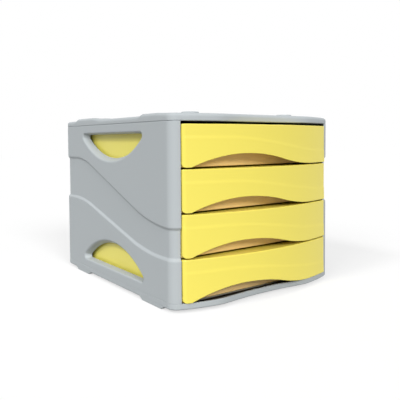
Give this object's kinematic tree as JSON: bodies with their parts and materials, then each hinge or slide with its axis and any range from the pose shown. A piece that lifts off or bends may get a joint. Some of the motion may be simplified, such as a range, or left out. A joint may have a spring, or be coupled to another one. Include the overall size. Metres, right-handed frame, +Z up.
{
  "type": "desktop drawer cabinet",
  "caption": "Grey stackable desktop cabinet with bowed yellow drawers under arched finger pulls, wave bands and hand holes in the sides.",
  "frame": {"origin": "on the surface it stands on, under the middle of its bounding box", "axes": "+Z up, the drawers open towards -Y, +X to the right seen from the front"},
  "size_m": [0.29, 0.3606, 0.2539],
  "materials": {
    "housing_grey": "fine satin moulding, light cool grey",
    "drawer_yellow": "smooth semi-gloss moulding, lemon yellow",
    "pad_rubber": "soft matt anti-slip pad"
  },
  "bodies": {
    "cabinet": {"left_side_panel": "housing_grey", "right_side_panel": "housing_grey", "top_cover": "housing_grey", "base": "housing_grey", "back_panel": "housing_grey", "pad_front_left": "pad_rubber", "pad_front_right": "pad_rubber", "pad_back_left": "pad_rubber", "pad_back_right": "pad_rubber"},
    "drawer_body_1": {"drawer_1": "drawer_yellow"},
    "drawer_body_2": {"drawer_2": "drawer_yellow"},
    "drawer_body_3": {"drawer_3": "drawer_yellow"},
    "drawer_body_4": {"drawer_4": "drawer_yellow"}
  },
  "joints": [
    {"name": "drawer_1_slide", "type": "slide", "parent": "cabinet", "child": "drawer_body_1", "axis": [0, -1, 0], "range_m": [0, 0.25]},
    {"name": "drawer_2_slide", "type": "slide", "parent": "cabinet", "child": "drawer_body_2", "axis": [0, -1, 0], "range_m": [0, 0.25]},
    {"name": "drawer_3_slide", "type": "slide", "parent": "cabinet", "child": "drawer_body_3", "axis": [0, -1, 0], "range_m": [0, 0.25]},
    {"name": "drawer_4_slide", "type": "slide", "parent": "cabinet", "child": "drawer_body_4", "axis": [0, -1, 0], "range_m": [0, 0.25]}
  ]
}
